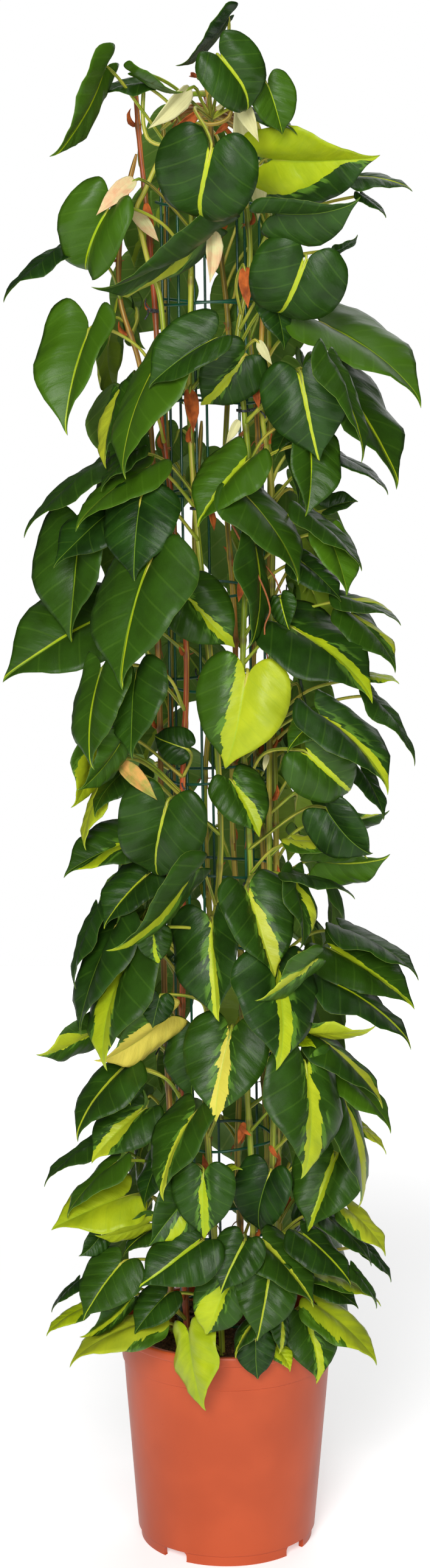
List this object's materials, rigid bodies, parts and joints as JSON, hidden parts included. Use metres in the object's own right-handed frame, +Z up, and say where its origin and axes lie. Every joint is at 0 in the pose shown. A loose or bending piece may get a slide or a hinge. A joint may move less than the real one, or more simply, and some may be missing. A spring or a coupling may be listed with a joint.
{
  "type": "potted brasil philodendron",
  "caption": "Climbing philodendron with variegated heart-shaped leaves on a round wire column, standing in a terracotta-coloured pot.",
  "frame": {"origin": "middle of the plant's bounding box, at the underside of the pot's feet", "axes": "+Z up along the wire column, the pictured front faces -Y"},
  "size_m": [0.4418, 0.4718, 1.6932],
  "materials": {
    "pot_plastic": "satin terracotta-coloured moulded plastic",
    "soil": "dark brown fibrous peat",
    "coated_wire": "dark green plastic-coated wire",
    "tie_wire": "dark grey coated twist tie",
    "leaves": "glossy green leaf with lime bands, on green to brown stems"
  },
  "bodies": {
    "root": {"pot": "pot_plastic", "soil": "soil", "wire_column": "coated_wire", "tie_01": "tie_wire", "tie_02": "tie_wire", "tie_03": "tie_wire", "tie_04": "tie_wire", "tie_05": "tie_wire", "tie_06": "tie_wire", "tie_07": "tie_wire", "tie_08": "tie_wire", "tie_09": "tie_wire", "tie_10": "tie_wire", "tie_11": "tie_wire", "vine_01": "leaves", "vine_02": "leaves", "vine_03": "leaves", "vine_04": "leaves", "vine_05": "leaves", "vine_06": "leaves", "vine_07": "leaves", "vine_08": "leaves", "vine_09": "leaves", "vine_10": "leaves"}
  },
  "joints": []
}
